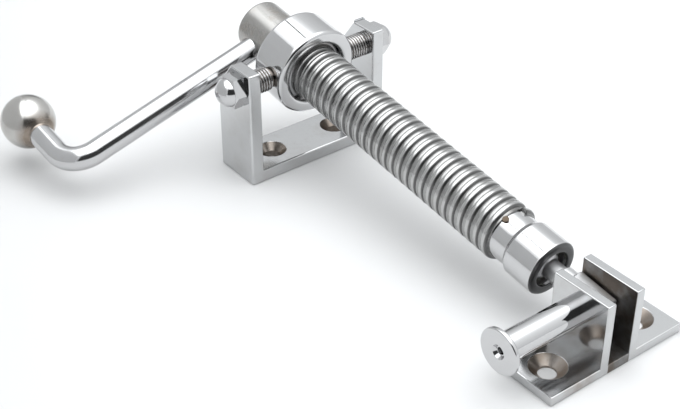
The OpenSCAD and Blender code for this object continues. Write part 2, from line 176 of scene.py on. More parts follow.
class BracketSizes(bpy.types.PropertyGroup):
    """Sizes of the U bracket on the window frame and of its two pivot screws."""

    depth: length("Depth", "Depth of the bracket along the opener", 18)
    width: length("Width", "Width over both uprights", 54)
    height: length("Height", "Height of the uprights", 40)
    sheet: length("Sheet", "Thickness of the base and of the uprights", 4.5)
    corner_long: length("Corner length", "Length of the slanted corner at the back of each upright", 7.5)
    corner_high: length("Corner height", "Height of the slanted corner", 10)
    hole_gap: length("Hole distance", "Distance between the two screw holes", 26)
    hole: length("Hole", "Diameter of the screw holes", 5.4)
    sink: length("Countersink", "Diameter of the countersinks", 9.8)
    edge: length("Edge", "Rounding of the bracket's edges", 0.55)
    shank: length("Pivot screw", "Diameter of the pivot screws' thread", 8)
    root: length("Thread root", "Diameter at the bottom of their thread", 6.9)
    pitch: length("Thread pitch", "Pitch of their thread", 1.0)
    tip: length("Tip", "Diameter of the plain tip that turns in the collar", 6)
    tip_long: length("Tip length", "Length of the tip in the collar", 3.2)
    hexagon: length("Hexagon", "Width across the flats of the screw heads", 10)
    hexagon_long: length("Hexagon length", "Length of the hexagon", 3.9)
    dome: length("Dome", "Radius of the domed end", 4.9)
    dome_in: length("Dome depth", "Depth of the dome's centre in the hexagon", 1.2)


class CollarSizes(bpy.types.PropertyGroup):
    """Sizes of the collar and of the wire coil that is its nut."""

    outer: length("Diameter", "Diameter of the collar", 30)
    front: length("Front", "Length in front of the pivot", 6)
    back: length("Back", "Length behind the pivot", 8.3)
    edge: length("Edge", "Rounding of the collar's edges", 1.4)
    guide: length("Guide", "Length of the plain guide at the back of the bore", 2.6)
    wire: length("Nut wire", "Diameter of the nut coil's wire", 1.8)
    turns: number("Nut turns", "Turns of the nut coil", 2.5)


class SpindleSizes(bpy.types.PropertyGroup):
    """Sizes of the spindle tube and of the wire wound on it."""

    tube: length("Tube", "Outer diameter of the tube", 12.3)
    bore: length("Bore", "Bore of the tube", 7)
    wire: length("Wire", "Diameter of the wound wire", 2.8)
    pitch: length("Pitch", "Pitch of the winding", 3.46)
    hub_seat: length("Hub seat", "Length of the tube inside the hub", 5.9)
    seat: length("Seat", "Clearance of the wire above the tube", 0.25)
    groove: length("Groove", "Diameter of the tube's band under the winding, which closes its grooves", 16.6)
    inner_back: length("Inner wire place", "Distance of the inner wire behind each turn", 1.3)
    inner_low: length("Inner wire depth", "Depth of the inner wire below the winding", 0.1)
    inner_turns: number("Inner turns", "Turns of the inner wire", 30.25)
    turns: number("Turns", "Turns of the wound wire", 30.43)
    first: bearing("First turn", "Angle at which the winding starts", 272)
    rings: IntProperty(name="Rings", description="Rings of mesh in each turn", default=44, min=8, max=96)
    lock_pin: length("Lock pin", "Diameter of the lock pin", 1.9)
    lock_back: length("Lock pin place", "Distance of the lock pin behind the winding's end", 0.55)
    lock_turn: bearing("Lock pin turn", "Angle of the lock pin round the spindle", 114.6)


class CrankSizes(bpy.types.PropertyGroup):
    """Sizes of the hub, the bent rod and the knob."""

    hub: length("Hub", "Diameter of the hub", 17.8)
    hub_long: length("Hub length", "Length of the hub", 18.15)
    hub_edge: length("Hub edge", "Rounding of the hub's back edge", 1.0)
    rod: length("Rod", "Diameter of the rod", 8)
    rod_back: length("Rod place", "Distance of the rod behind the hub's front", 10.55)
    arm: length("Arm", "Distance from the spindle's axis to the handle's axis", 80.3)
    bend: length("Bend", "Radius of the bend", 9)
    handle: length("Handle", "Distance of the knob's centre behind the arm", 28.3)
    knob: length("Knob", "Diameter of the knob", 18)
    fillet: length("Fillet", "Fillet between the knob and the rod", 0.8)
    angle: bearing("Angle", "Angle of the arm below the pivot", 17.6)


class JointSizes(bpy.types.PropertyGroup):
    """Sizes of the ball joint at the spindle's front end and of its stud."""

    neck: length("Neck", "Diameter of the neck behind the socket", 15.6)
    neck_long: length("Neck length", "Length of the neck", 1.4)
    step: length("Step", "Length of the fillet between the neck and the socket", 1.3)
    socket: length("Socket", "Diameter of the socket", 17.66)
    socket_long: length("Socket length", "Length of the socket", 11)
    front: length("Socket front", "Distance of the socket's front in front of the ball's centre", 6.5)
    bore_back: length("Bore back", "Length of the socket's bore behind the ball's centre", 4.1)
    spigot_long: length("Spigot length", "Length of the spigot inside the tube", 11)
    lip: length("Lip", "Rounding of the socket's front edge", 1.2)
    lip_sheet: length("Lip thickness", "Thickness of the rolled lip", 1.5)
    mouth: length("Mouth", "Diameter of the socket's mouth", 11.8)
    ball: length("Ball", "Diameter of the ball", 12)
    liner: length("Liner", "Thickness of the liner round the ball", 0.7)
    liner_long: length("Liner length", "Length of the liner", 5)
    seat: length("Seat", "Thickness of the seat at its thinnest", 0.6)
    stud_neck: length("Stud neck", "Diameter of the stud's neck", 6)
    shoulder: length("Shoulder", "Diameter of the shoulder", 7.8)
    shoulder_long: length("Shoulder length", "Length of the shoulder", 3)
    tongue_high: length("Tongue height", "Height of the tongue", 7.2)
    tongue_thick: length("Tongue thickness", "Thickness of the tongue", 7)
    tongue_back: length("Tongue back", "Length of the tongue behind the pin", 8)
    tongue_front: length("Tongue front", "Length of the tongue in front of the pin", 5.7)


class WindowSizes(bpy.types.PropertyGroup):
    """Sizes of the window bracket and of its pull pin."""

    plate_long: length("Plate depth", "Depth of the plate along the opener", 20)
    plate_wide: length("Plate width", "Width of the plate", 51)
    plate: length("Plate", "Thickness of the plate", 3)
    ear: length("Ear", "Thickness of each ear", 3)
    ear_gap: length("Ear gap", "Gap between the ears", 8.1)
    ear_high: length("Ear height", "Height of the ears above the underside", 24)
    pin_back: length("Pin place", "Distance of the pin behind the plate's middle", 2.15)
    hole_gap: length("Hole distance", "Distance between the two screw holes", 34)
    hole: length("Hole", "Diameter of the screw holes", 5.4)
    sink: length("Countersink", "Diameter of the countersinks", 11.2)
    sink_deep: length("Countersink depth", "Depth of the countersinks in both brackets", 2.4)
    edge: length("Edge", "Rounding of the bracket's edges", 0.35)
    pin: length("Pin", "Diameter of the cross pin", 5)
    pin_out: length("Pin end", "Length of the pin's end outside the far ear", 0.6)
    barrel: length("Barrel", "Diameter of the barrel", 8.6)
    barrel_bore: length("Barrel bore", "Bore of the barrel", 6.8)
    barrel_long: length("Barrel length", "Length of the barrel", 25.65)
    bush: length("Bush", "Length of the bush that closes the barrel", 2)
    stem: length("Stem", "Diameter of the pin's stem", 3)
    head_long: length("Head length", "Length of the pin's head in the barrel", 2)
    disc: length("Disc", "Diameter of the pull disc", 13.8)
    disc_thick: length("Disc thickness", "Thickness of the pull disc", 1.4)
    recess: length("Recess", "Diameter of the recess in the disc", 4.4)
    spring: length("Spring", "Mean diameter of the spring in the barrel", 4.9)
    spring_wire: length("Spring wire", "Diameter of the spring's wire", 0.8)
    spring_turns: IntProperty(name="Spring turns", description="Turns of the spring", default=9, min=2)


class Finishes(bpy.types.PropertyGroup):
    """Colours of the metals and of the nylon."""

    chrome: colour("Chrome", "Bright plated pieces", (0.57, 0.57, 0.575))
    sheet: colour("Sheet", "Plated sheet of both brackets", (0.57, 0.575, 0.58))
    wire: colour("Wire", "Wound wire", (0.49, 0.49, 0.485))
    nickel: colour("Nickel", "Hub and knob", (0.60, 0.59, 0.57))
    steel: colour("Steel", "Plain steel inside", (0.34, 0.34, 0.345))
    nylon: colour("Nylon", "Liner and seat of the ball", (0.80, 0.78, 0.70))
    # Stain also tints painted shade: in the wound wire's grooves and in the cleft between the window
    # bracket's ears.
    stain: colour("Stain", "Brown film in grooves and recesses", (0.27, 0.21, 0.16))


class StudioSizes(bpy.types.PropertyGroup):
    """The floor, the lights and the camera."""

    floor: length("Floor", "Width of the floor", 4000)
    lens: number("Lens", "Focal length in millimetres", 73.17)
    floor_tone: colour("Floor tone", "Colour of the floor", (0.67, 0.67, 0.67))
    room_light: number("Room light", "Brightness of the room", 1.0)


SIZES = {
    "opener_bracket": BracketSizes,
    "opener_collar": CollarSizes,
    "opener_spindle": SpindleSizes,
    "opener_crank": CrankSizes,
    "opener_joint": JointSizes,
    "opener_window": WindowSizes,
    "opener_finish": Finishes,
    "opener_studio": StudioSizes,
}


def sum_of(operation, swapped=False):
    """A method that adds a Math node to its value's tree."""

    def method(self, other):
        first, second = (other, self) if swapped else (self, other)
        return self.graph.maths(operation, first, second)

    return method


class Value:
    """A socket that takes part in sums, so 1 - value adds a Math node to its tree."""

    def __init__(self, graph, socket):
        self.graph = graph
        self.socket = socket

    def __neg__(self):
        return self * -1.0

    __add__ = sum_of("ADD")
    __radd__ = sum_of("ADD", swapped=True)
    __sub__ = sum_of("SUBTRACT")
    __rsub__ = sum_of("SUBTRACT", swapped=True)
    __mul__ = sum_of("MULTIPLY")
    __rmul__ = sum_of("MULTIPLY", swapped=True)
    __truediv__ = sum_of("DIVIDE")
    __pow__ = sum_of("POWER")


class Graph:
    """A shader or geometry tree that is built by calls."""

    def __init__(self, tree):
        self.tree = tree
        tree.nodes.clear()

    def feed(self, socket, value):
        """Links a value to a socket, or sets the socket's own number or colour."""
        if isinstance(value, Value):
            self.tree.links.new(value.socket, socket)
        else:
            socket.default_value = value

    def add(self, kind, sockets=None, out=0, **settings):
        """Adds a node and gives back one of its outputs."""
        node = self.tree.nodes.new(kind)
        for key, value in settings.items():
            setattr(node, key, value)
        for key, value in (sockets or {}).items():
            self.feed(node.inputs[key], value)
        return Value(self, node.outputs[out]) if node.outputs else None

    def maths(self, operation, first, second=None):
        """A Math node, with its operation set first."""
        sockets = {0: first} if second is None else {0: first, 1: second}
        return self.add("ShaderNodeMath", sockets, operation=operation)

    def clamp(self, value):
        """Keeps a value between 0 and 1."""
        return self.add("ShaderNodeMath", {0: value, 1: 0.0}, operation="ADD", use_clamp=True)

    def over(self, value, low, slope):
        """How far a value lies over a level, times a slope, between 0 and 1."""
        return self.clamp((value - low) * slope)

    def size(self, value):
        """A value without its sign."""
        return self.maths("ABSOLUTE", value)

    def vector(self, x, y, z):
        """Joins three numbers to a vector."""
        return self.add("ShaderNodeCombineXYZ", {0: x, 1: y, 2: z})

    def parts(self, vector):
        """The three numbers of a vector."""
        node = self.add("ShaderNodeSeparateXYZ", {0: vector}).socket.node
        return [Value(self, socket) for socket in node.outputs]

    def scaled(self, vector, factors):
        """A vector stretched along its axes."""
        return self.add("ShaderNodeVectorMath", {0: vector, 1: factors}, operation="MULTIPLY")

    def facing(self, vector, way):
        """How far a vector points one way, between 0 and 1."""
        sockets = {0: vector, 1: way}
        return self.clamp(self.add("ShaderNodeVectorMath", sockets, out="Value", operation="DOT_PRODUCT"))

    def blend(self, amount, low, high):
        """A colour between two."""
        sockets = {0: amount, 6: low, 7: high}
        return self.add("ShaderNodeMix", sockets, out=2, data_type="RGBA", clamp_factor=True)

    def noise(self, vector, scale, detail=2.0, roughness=0.5):
        """Soft noise between 0 and 1."""
        sockets = {"Vector": vector, "Scale": scale, "Detail": detail, "Roughness": roughness}
        return self.add("ShaderNodeTexNoise", sockets, noise_dimensions="3D")

    def bump(self, height, strength, distance, normal=None):
        """A bumped normal."""
        sockets = {"Height": height, "Strength": strength, "Distance": distance}
        if normal is not None:
            sockets["Normal"] = normal
        return self.add("ShaderNodeBump", sockets)

    def ramp(self, place, stops):
        """A level that changes with a value, through stops of a place and a level."""
        node = self.tree.nodes.new("ShaderNodeValToRGB")
        elements = node.color_ramp.elements
        while len(elements) < len(stops):
            elements.new(0.5)
        for element, (at, level) in zip(elements, stops):
            element.position = at
            element.color = (level, level, level, 1.0)
        self.feed(node.inputs["Fac"], place)
        return Value(self, node.outputs["Color"])


def rgba(tint, share=1.0):
    """A share of a colour, with its alpha."""
    return (*(share * part for part in tint), 1.0)


def shader(name):
    """A new material and its graph."""
    material = bpy.data.materials.new(name)
    material.use_nodes = True
    return material, Graph(material.node_tree)


def surface(graph, base, rough, normal=None, metallic=1.0):
    """Ends a material in its Principled shader."""
    sockets = {"Base Color": base, "Metallic": metallic, "Roughness": rough}
    if normal is not None:
        sockets["Normal"] = normal
    shade = graph.add("ShaderNodeBsdfPrincipled", sockets)
    graph.add("ShaderNodeOutputMaterial", {"Surface": shade})


def object_place(graph):
    """Object coordinates."""
    return graph.add("ShaderNodeTexCoord", out="Object")


def own_place(graph, place):
    """Object coordinates in a piece's own frame, with its axis as Z."""
    moved, spun = place.to_translation(), place.to_euler()
    sockets = {"Vector": object_place(graph), "Location": moved, "Rotation": spun}
    return graph.add("ShaderNodeMapping", sockets, vector_type="TEXTURE")


def turned_metal(
    name, place, tint, stain, gloss, haze, ring_depth, dirt, painted_dark_from=None, halo=None, thread=None
):
    """Lathe-turned and plated metal: fine rings round its axis, soft clouds of haze and a little film.

    From one length onwards it can be rougher and carry a painted dark band, a painted reflection of a dark
    surrounding. It can have a brown halo within a radius where Z is above zero, and be darker and browner in
    a thread's roots, whose crest and reach are given.
    """
    material, graph = shader(name)
    own = own_place(graph, place)
    x, y, z = graph.parts(own)
    radius = (x * x + y * y) ** 0.5
    wander = graph.noise(own, 90.0) * 0.0005
    rings = graph.noise(graph.vector(radius + wander, 0.0, z + wander), 5200.0, 3.0, 0.6)
    clouds = graph.noise(own, 150.0, 4.0, 0.6)
    specks = graph.noise(own, 1900.0, 3.0, 0.7)
    darkening = graph.over(clouds, 0.52, 3.0) * (0.35 + specks * 0.5)
    base = graph.blend(darkening * dirt, rgba(tint), rgba(stain))
    base = graph.blend(graph.over(rings, 0.55, 2.2) * 0.16, base, rgba(tint, 0.6))
    rough = gloss + haze * clouds + haze * 0.8 * graph.over(specks, 0.6, 4.0) + haze * 0.5 * rings
    # Painted reflection: from this length onwards the base is nearly black, standing in for a dark
    # surrounding, and the surface is rougher.
    if painted_dark_from is not None:
        painted_dark_band = graph.clamp((z - painted_dark_from) / (0.15 * MM))
        base = graph.blend(painted_dark_band * (0.85 + 0.2 * clouds), base, rgba(tint, 0.13))
        rough = rough + painted_dark_band * 0.24
    if halo is not None:
        ring = graph.clamp((halo - radius) / (0.3 * halo)) * graph.clamp(z / (2 * MM))
        base = graph.blend(ring * (0.5 + 0.6 * clouds), base, rgba(stain, 0.9))
        rough = rough + ring * 0.12
    # Darker and browner in the thread's roots.
    if thread is not None:
        crest, reach = thread
        within = graph.clamp((reach - graph.size(z)) / MM)
        groove_darkening = graph.clamp((crest - radius) / (0.35 * MM) - 0.1) * within
        base = graph.blend(groove_darkening * 0.8, base, rgba(stain, 0.45))
    fine = graph.bump(rings, ring_depth, 0.00002)
    surface(graph, base, rough, graph.bump(graph.noise(own, 210.0, 1.0), 0.25, 0.00006, fine))
    return material


def plated_sheet(name, tint, stain, gloss, haze, grain, sinks, sink, top, cleft=None):
    """Sheet metal that was ground along one way and plated: fine straight lines under soft clouds.

    Brown stain lies in its countersinks. Where it has a cleft between two ears, the cleft is painted dark
    and mottled, which is painted shade between the ears, and brown stain lies in clouds in a band to one
    side of it.
    """
    material, graph = shader(name)
    own = object_place(graph)
    lines = graph.noise(graph.scaled(own, grain), 1.0, 3.0, 0.65)
    clouds = graph.noise(own, 120.0, 4.0, 0.6)
    specks = graph.noise(own, 2100.0, 2.0, 0.7)
    dulled = graph.blend(graph.over(clouds, 0.5, 2.6) * 0.22, rgba(tint), rgba(stain))
    base = graph.blend(graph.over(lines, 0.56, 2.4) * 0.18, dulled, rgba(tint, 0.66))
    rough = gloss + haze * clouds + haze * 0.7 * lines + haze * graph.over(specks, 0.62, 5.0)
    x, y, z = graph.parts(own)
    edge = 0.1 * MM
    low = graph.clamp((top - 0.06 * MM - z) / edge)
    for hole_x, hole_y in sinks:
        reach = ((x - hole_x) * (x - hole_x) + (y - hole_y) * (y - hole_y)) ** 0.5
        turning = graph.noise(graph.vector(reach, z, 0.0), 4200.0, 2.0, 0.6)
        darkening = low * graph.clamp((sink / 2 + edge - reach) / edge)
        base = graph.blend(darkening * (0.45 + 0.7 * clouds), base, rgba(stain, 0.85))
        rough = rough + darkening * (0.10 + 0.2 * turning)
    if cleft is not None:
        band_at, band_wide = -14 * MM, 8 * MM
        # Painted shade: the cleft between the ears and the ears' inner faces are painted dark and mottled.
        darkening = graph.clamp((cleft / 2 + 0.12 * MM - graph.size(y)) / (0.08 * MM))
        mottled = graph.blend((clouds - 0.4) * 4.0, rgba(stain, 0.42), rgba(tint, 0.42))
        base = graph.blend(darkening * 0.92, base, mottled)
        rough = rough + darkening * 0.3
        band = graph.clamp(1.0 - graph.size(y - band_at) / band_wide)
        cloudy = band * graph.over(clouds, 0.35, 3.0)
        base = graph.blend(cloudy * 0.75, base, rgba(stain))
        rough = rough + cloudy * 0.06
    fine = graph.bump(lines, 0.10, 0.00002)
    surface(graph, base, rough, graph.bump(graph.noise(own, 160.0, 1.0), 0.30, 0.00009, fine))
    return material


def wound_wire(name, tint, stain, crest, root, pitch, gloss, haze, lead=None):
    """Drawn and plated wire wound round the spindle: streaks along its turns, and painted shade in its
    grooves, darker with depth and browner in patches of stain.

    With a lead, a line of painted shade lies on the front flank of each turn, with a painted dark band
    beside it.
    """
    material, graph = shader(name)
    own = own_place(graph, SPINDLE)
    x, y, z = graph.parts(own)
    radius = (x * x + y * y) ** 0.5
    turn = graph.maths("ARCTAN2", x, y) / math.tau
    depth = graph.clamp((crest - radius) / (crest - root))
    streaks = graph.noise(graph.vector(turn * 4 * MM, z + turn * pitch, radius), 5200.0, 3.0, 0.65)
    clouds = graph.noise(own, 170.0, 4.0, 0.6)
    patches = graph.noise(graph.scaled(own, (1.0, 1.0, 0.55)), 75.0, 3.0, 0.6)
    specks = graph.noise(own, 2400.0, 2.0, 0.7)
    # Painted shade with patches of brown stain: deeper in the grooves the wire is darker and browner.
    brown = graph.blend(graph.over(patches, 0.42, 3.0) * 0.4, rgba(tint, 0.74), rgba(stain))
    darkening = graph.clamp(depth * 5.0 - 0.6) * (0.75 + 0.3 * streaks)
    base = graph.blend(darkening, rgba(tint), brown)
    base = graph.blend(graph.over(streaks, 0.52, 4.0) * 0.4, base, rgba(tint, 0.5))
    rough = gloss + haze * clouds + haze * 1.2 * streaks + darkening * 0.02 + haze * graph.over(specks, 0.62, 4.0)
    if lead is not None:
        # Painted shade: a dark line on each turn's front flank stands in for the shade in the groove, and a
        # painted dark band lies beside it.
        dark = rgba(tint, 0.26)
        share = graph.maths("FRACT", (z - lead) / pitch + turn)
        groove_darkening = graph.over(share, 0.13, 11.0) * graph.clamp((0.45 - share) * 11.0) * (0.7 + 0.5 * streaks)
        painted_dark_band = graph.over(share, 0.40, 9.0) * graph.clamp((0.80 - share) * 9.0) * (0.30 + 0.30 * streaks)
        base = graph.blend(groove_darkening, graph.blend(painted_dark_band, base, dark), dark)
        rough = rough + 0.12 * groove_darkening
    surface(graph, base, rough, graph.bump(streaks, 0.55, 0.00003))
    return material


def natural_nylon(name, tint):
    """Moulded nylon: creamy, faintly mottled and satin."""
    material, graph = shader(name)
    own = object_place(graph)
    mottle = graph.noise(own, 380.0, 4.0, 0.65)
    pores = graph.noise(own, 3000.0, 2.0, 0.6)
    base = graph.blend(graph.over(mottle, 0.4, 2.5) * 0.4, rgba(tint), rgba(tint, 0.8))
    surface(graph, base, 0.38 + 0.15 * mottle, graph.bump(pores, 0.2, 0.00003), metallic=0.0)
    return material


def pale_floor(name, tint):
    """Plain pale paper under the object, with a faint tooth."""
    material, graph = shader(name)
    own = object_place(graph)
    tooth = graph.noise(own, 900.0, 3.0, 0.6)
    drift = graph.noise(own, 3.0)
    base = graph.blend(drift * 0.25, rgba(tint), rgba(tint, 0.97))
    surface(graph, base, 0.85 + 0.1 * tooth, graph.bump(tooth, 0.08, 0.0001), metallic=0.0)
    return material


def card_paper(name, tone):
    """Card with a faint nap."""
    material, graph = shader(name)
    nap = graph.noise(object_place(graph), 60.0)
    surface(graph, graph.blend(nap, rgba([tone] * 3), rgba([tone] * 3, 1.1)), 0.9, metallic=0.0)
    return material


def hub_front(collar):
    """Where the hub's front lies along the spindle, just behind the collar."""
    return -collar.back - GAP


def wire_start(spindle, collar):
    """Where the first turn of the winding lies along the spindle, just inside the collar."""
    return -collar.back + FIT + spindle.wire / 2


def winding_radius(spindle):
    """Radius of the winding, to the middle of its wire."""
    return (spindle.tube + spindle.wire) / 2 + spindle.seat


def rod_place(crank, collar):
    """The crank rod's own frame: X runs out along the arm, and the handle runs along -Z."""
    back = shift(z=hub_front(collar) - crank.rod_back)
    return SPINDLE @ back @ Matrix.Rotation(math.pi + crank.angle, 4, "Z")


def knob_place(crank, collar):
    """The knob's own frame, with the rod coming in from +Z."""
    return rod_place(crank, collar) @ shift(crank.arm, 0, -crank.handle)


METALS = {}


def make_finishes(scene):
    """Makes every material once, round the axis that its pieces are turned on."""
    tones, bracket, window = scene.opener_finish, scene.opener_bracket, scene.opener_window
    spindle, crank, collar = scene.opener_spindle, scene.opener_crank, scene.opener_collar
    chrome, stain, steel = tones.chrome, tones.stain, tones.steel
    sleek = [0.64 * tone for tone in tones.nickel]
    worn = [0.88 * tone for tone in tones.nickel]
    dark = [0.4 * tone for tone in stain]
    # The material's name, axis and tint, then its gloss, its haze, the depth of its rings and its dirt.
    pieces = {
        "collar": ("bright_collar_chrome", SPINDLE, chrome, 0.045, 0.05, 0.10, 0.12),
        "socket": ("bright_socket_chrome", SPINDLE, chrome, 0.040, 0.05, 0.10, 0.15),
        "sleeve": ("bright_sleeve_chrome", SPINDLE, chrome, 0.050, 0.06, 0.12, 0.30),
        "stud": ("satin_stud_chrome", SPINDLE, chrome, 0.28, 0.10, 0.20, 0.20),
        "rod": ("bright_rod_chrome", SPINDLE, chrome, 0.065, 0.09, 0.05, 0.20),
        "screw": ("bright_screw_chrome", screw_place(-1), chrome, 0.060, 0.06, 0.08, 0.25),
        "barrel": ("bright_barrel_chrome", PIN_AXIS, chrome, 0.035, 0.04, 0.08, 0.10),
        "hub": ("soft_hub_nickel", SPINDLE, sleek, 0.17, 0.12, 0.40, 0.90),
        "knob": ("soft_knob_nickel", knob_place(crank, collar), worn, 0.10, 0.09, 0.08, 0.30),
        "inner": ("plain_inner_steel", SPINDLE, steel, 0.20, 0.15, 0.4, 0.5),
        "pin": ("dark_pin_steel", SPINDLE, dark, 0.35, 0.15, 0.3, 0.3),
        "spring": ("plain_spring_steel", PIN_AXIS, steel, 0.22, 0.15, 0.3, 0.4),
    }
    extras = {
        # The socket's front carries a painted dark band, a painted reflection of a dark surrounding.
        "socket": {"painted_dark_from": BALL_AT + scene.opener_joint.front - 0.75 * MM},
        "screw": {"thread": (bracket.shank / 2, bracket.width / 2)},
        "knob": {"halo": 0.95 * crank.rod},
    }
    for key, (name, place, tint, *settings) in pieces.items():
        METALS[key] = turned_metal(name, place, tint, stain, *settings, **extras.get(key, {}))
    pitch = spindle.pitch
    crest = winding_radius(spindle) + spindle.wire / 2
    # The lead sets where the painted groove shade and the painted dark band lie on the wire's turns.
    lead = wire_start(spindle, collar) - (spindle.first / math.tau - 0.25) * pitch
    METALS["wire"] = wound_wire(
        "plated_thread_wire", tones.wire, stain, crest, spindle.groove / 2, pitch, 0.10, 0.08, lead
    )
    nut_crest, nut_root = 10.6 * MM, 8.8 * MM
    METALS["nut"] = wound_wire("plain_nut_wire", steel, stain, nut_crest, nut_root, pitch, 0.16, 0.1)
    frame_sinks = [(0.0, side * bracket.hole_gap / 2) for side in SIDES]
    plate_sinks = [(PIN.x + window.pin_back, side * window.hole_gap / 2) for side in SIDES]
    METALS["base"] = plated_sheet(
        "plated_frame_sheet", tones.sheet, stain, 0.050, 0.06, (90, 1400, 1400),
        frame_sinks, bracket.sink, bracket.sheet,
    )
    METALS["plate"] = plated_sheet(
        "plated_window_sheet", tones.sheet, stain, 0.060, 0.07, (1400, 90, 1400),
        plate_sinks, window.sink, window.plate, window.ear_gap,
    )
    METALS["nylon"] = natural_nylon("natural_nylon", tones.nylon)


def rounded(points, closed):
    """Rounds the corners of an outline: a third number in a point is its radius."""
    done = []
    count = len(points)
    for i, point in enumerate(points):
        corner = Vector(point[:2])
        radius = point[2] if len(point) > 2 else 0.0
        if not radius or (not closed and i in (0, count - 1)):
            done.append(corner)
            continue
        before = (Vector(points[i - 1][:2]) - corner).normalized()
        after = (Vector(points[(i + 1) % count][:2]) - corner).normalized()
        half = before.angle(after) / 2
        middle = corner + (before + after).normalized() * radius / math.sin(half)
        start = corner + before * radius / math.tan(half) - middle
        end = corner + after * radius / math.tan(half) - middle
        sweep = start.angle_signed(end)
        steps = max(3, math.ceil(abs(sweep) / math.radians(13)))
        for k in range(steps + 1):
            done.append(middle + Matrix.Rotation(-sweep * k / steps, 2) @ start)
    return done


def arc(middle, radius, start, end, steps):
    """Points along an arc, with its angles in degrees from the radius."""
    angles = [math.radians(start + (end - start) * k / steps) for k in range(steps + 1)]
    return [(middle[0] + radius * math.cos(a), middle[1] + radius * math.sin(a)) for a in angles]


def shell_mesh(shell, place=Matrix.Identity(4)):
    """A mesh from a bmesh, moved to its place."""
    shell.transform(place)
    mesh = bpy.data.meshes.new("shell")
    shell.to_mesh(mesh)
    shell.free()
    return mesh


def turned(points, place, ring=False, steps=192):
    """A mesh turned from an outline of radii and lengths. A ring's outline closes on itself."""
    shell = bmesh.new()
    angles = [math.tau * k / steps for k in range(steps)]
    rows = []
    for radius, along in rounded(points, ring):
        if radius < ON_AXIS:
            rows.append([shell.verts.new((0, 0, along))])
            continue
        around = [(radius * math.cos(a), radius * math.sin(a), along) for a in angles]
        rows.append([shell.verts.new(point) for point in around])
    for low, high in zip(rows, rows[1:] + (rows[:1] if ring else [])):
        for i in range(steps):
            j = (i + 1) % steps
            corners = (low[i % len(low)], low[j % len(low)], high[j % len(high)], high[i % len(high)])
            face = list(dict.fromkeys(corners))
            if len(face) > 2:
                shell.faces.new(face)
    bmesh.ops.recalc_face_normals(shell, faces=shell.faces)
    return shell_mesh(shell, place)


def block(low, high, place=Matrix.Identity(4)):
    """A box between two corners."""
    shell = bmesh.new()
    middle = [(a + b) / 2 for a, b in zip(low, high)]
    size = [b - a for a, b in zip(low, high)]
    bmesh.ops.create_cube(shell, size=1.0, matrix=shift(*middle) @ Matrix.Diagonal((*size, 1.0)))
    return shell_mesh(shell, place)


def prism(outline, low, high, place):
    """An outline in X and Y drawn out along Z."""
    shell = bmesh.new()
    floor = [shell.verts.new((x, y, low)) for x, y in outline]
    roof = [shell.verts.new((x, y, high)) for x, y in outline]
    count = len(outline)
    shell.faces.new(floor)
    shell.faces.new(roof)
    for i in range(count):
        j = (i + 1) % count
        shell.faces.new((floor[i], floor[j], roof[j], roof[i]))
    bmesh.ops.recalc_face_normals(shell, faces=shell.faces)
    return shell_mesh(shell, place)


def bar(radius, low, high, place):
    """A plain round bar, for cutting bores."""
    return turned([(0, low), (radius, low), (radius, high), (0, high)], place, steps=96)


def sunk_hole(sizes, sheet, deep, place):
    """The mesh that cuts a countersunk hole down through a sheet."""
    hole, sink = sizes.hole / 2, sizes.sink / 2
    brim = sink + 0.5 * MM
    points = [
        (0, -OVER),
        (hole, -OVER),
        (hole, sheet - deep, 0.25 * MM),
        (sink, sheet, 0.12 * MM),
        (brim, sheet + 0.02 * MM),
        (brim, sheet + OVER),
        (0, sheet + OVER),
    ]
    return turned(points, place, steps=96)


def stock(mesh, name="stock"):
    """An object that holds a mesh and is linked to the scene."""
    item = bpy.data.objects.new(name, mesh)
    bpy.context.scene.collection.objects.link(item)
    return item


def settled(item):
    """Turns what an object's modifiers show into its plain mesh."""
    graph = bpy.context.evaluated_depsgraph_get()
    mesh = bpy.data.meshes.new_from_object(item.evaluated_get(graph))
    item.modifiers.clear()
    item.data = mesh


def cut(item, tools, operation="DIFFERENCE"):
    """Cuts an object with meshes, and leaves a plain mesh."""
    held = [stock(tool, "tool") for tool in tools]
    for tool in held:
        work = item.modifiers.new("Cut", "BOOLEAN")
        work.operation = operation
        work.solver = "EXACT"
        work.object = tool
    settled(item)
    for tool in held:
        bpy.data.objects.remove(tool)


def eased(item, width, segments=4, angle=35):
    """Rounds an object's sharp edges."""
    work = item.modifiers.new("Ease", "BEVEL")
    work.width = width
    work.segments = segments
    work.limit_method = "ANGLE"
    work.angle_limit = math.radians(angle)
    work.use_clamp_overlap = True
    settled(item)


def joined(meshes):
    """One mesh from several."""
    shell = bmesh.new()
    for mesh in meshes:
        shell.from_mesh(mesh)
    return shell_mesh(shell)


def taken(item):
    """The mesh of an object, which goes."""
    mesh = item.data
    bpy.data.objects.remove(item)
    return mesh


def smoothed(item, angle):
    """Shades an object smooth between its sharp edges, with its flat faces kept flat."""
    item.data.shade_smooth()
    item.data.set_sharp_from_angle(angle=math.radians(angle))
    work = item.modifiers.new("Even", "WEIGHTED_NORMAL")
    work.keep_sharp = True
    work.weight = 80
    settled(item)


def fitted(item, name, node, finish, angle=33):
    """Smooths and names a piece, gives it its metal, and lets it stand for its node on the node's body."""
    smoothed(item, angle)
    item.name = name
    item.data.name = name
    item.data.materials.clear()
    item.data.materials.append(METALS[finish])
    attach(item, body_of(frame["nodes"][node])[0])
    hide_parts(node)


def turned_piece(outline, place, name, node, finish, angle=33, ring=False):
    """A whole piece turned from one outline."""
    fitted(stock(turned(outline, place, ring)), name, node, finish, angle)


def coated(node, finish):
    """Gives a node its metal."""
    mesh = frame["nodes"][node].data
    mesh.materials.clear()
    mesh.materials.append(METALS[finish])


